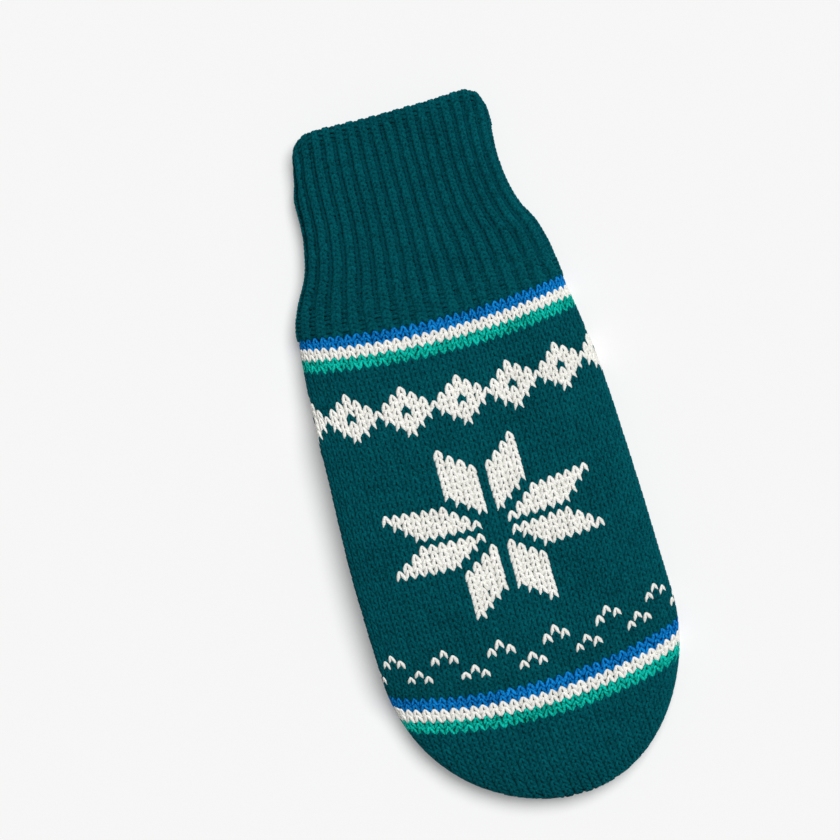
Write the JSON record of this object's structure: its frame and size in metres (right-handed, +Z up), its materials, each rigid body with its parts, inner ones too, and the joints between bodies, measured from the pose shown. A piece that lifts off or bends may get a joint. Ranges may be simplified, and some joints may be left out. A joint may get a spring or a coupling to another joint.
{
  "type": "knitted mitten",
  "caption": "Left-hand knitted mitten with a ribbed cuff, lying palm down; hollow hand and hollow thumb folded flat under the palm, snowflake pattern knitted into the back.",
  "frame": {"origin": "on the surface that the mitten lies on, under the middle of its bounding box", "axes": "+Y from the fingertips to the cuff's open rim, +Z up from the palm to the back of the hand, +X to the side away from the thumb"},
  "size_m": [0.117, 0.2714, 0.0217],
  "materials": {
    "teal_yarn": "dark teal worsted wool yarn, knitted, soft and matt",
    "white_yarn": "off-white worsted wool yarn, knitted, soft and matt",
    "blue_yarn": "bright blue worsted wool yarn, knitted, soft and matt",
    "green_yarn": "sea-green worsted wool yarn, knitted, soft and matt"
  },
  "bodies": {
    "root": {"cuff": "teal_yarn", "hand": "teal_yarn", "thumb": "teal_yarn"}
  },
  "joints": []
}
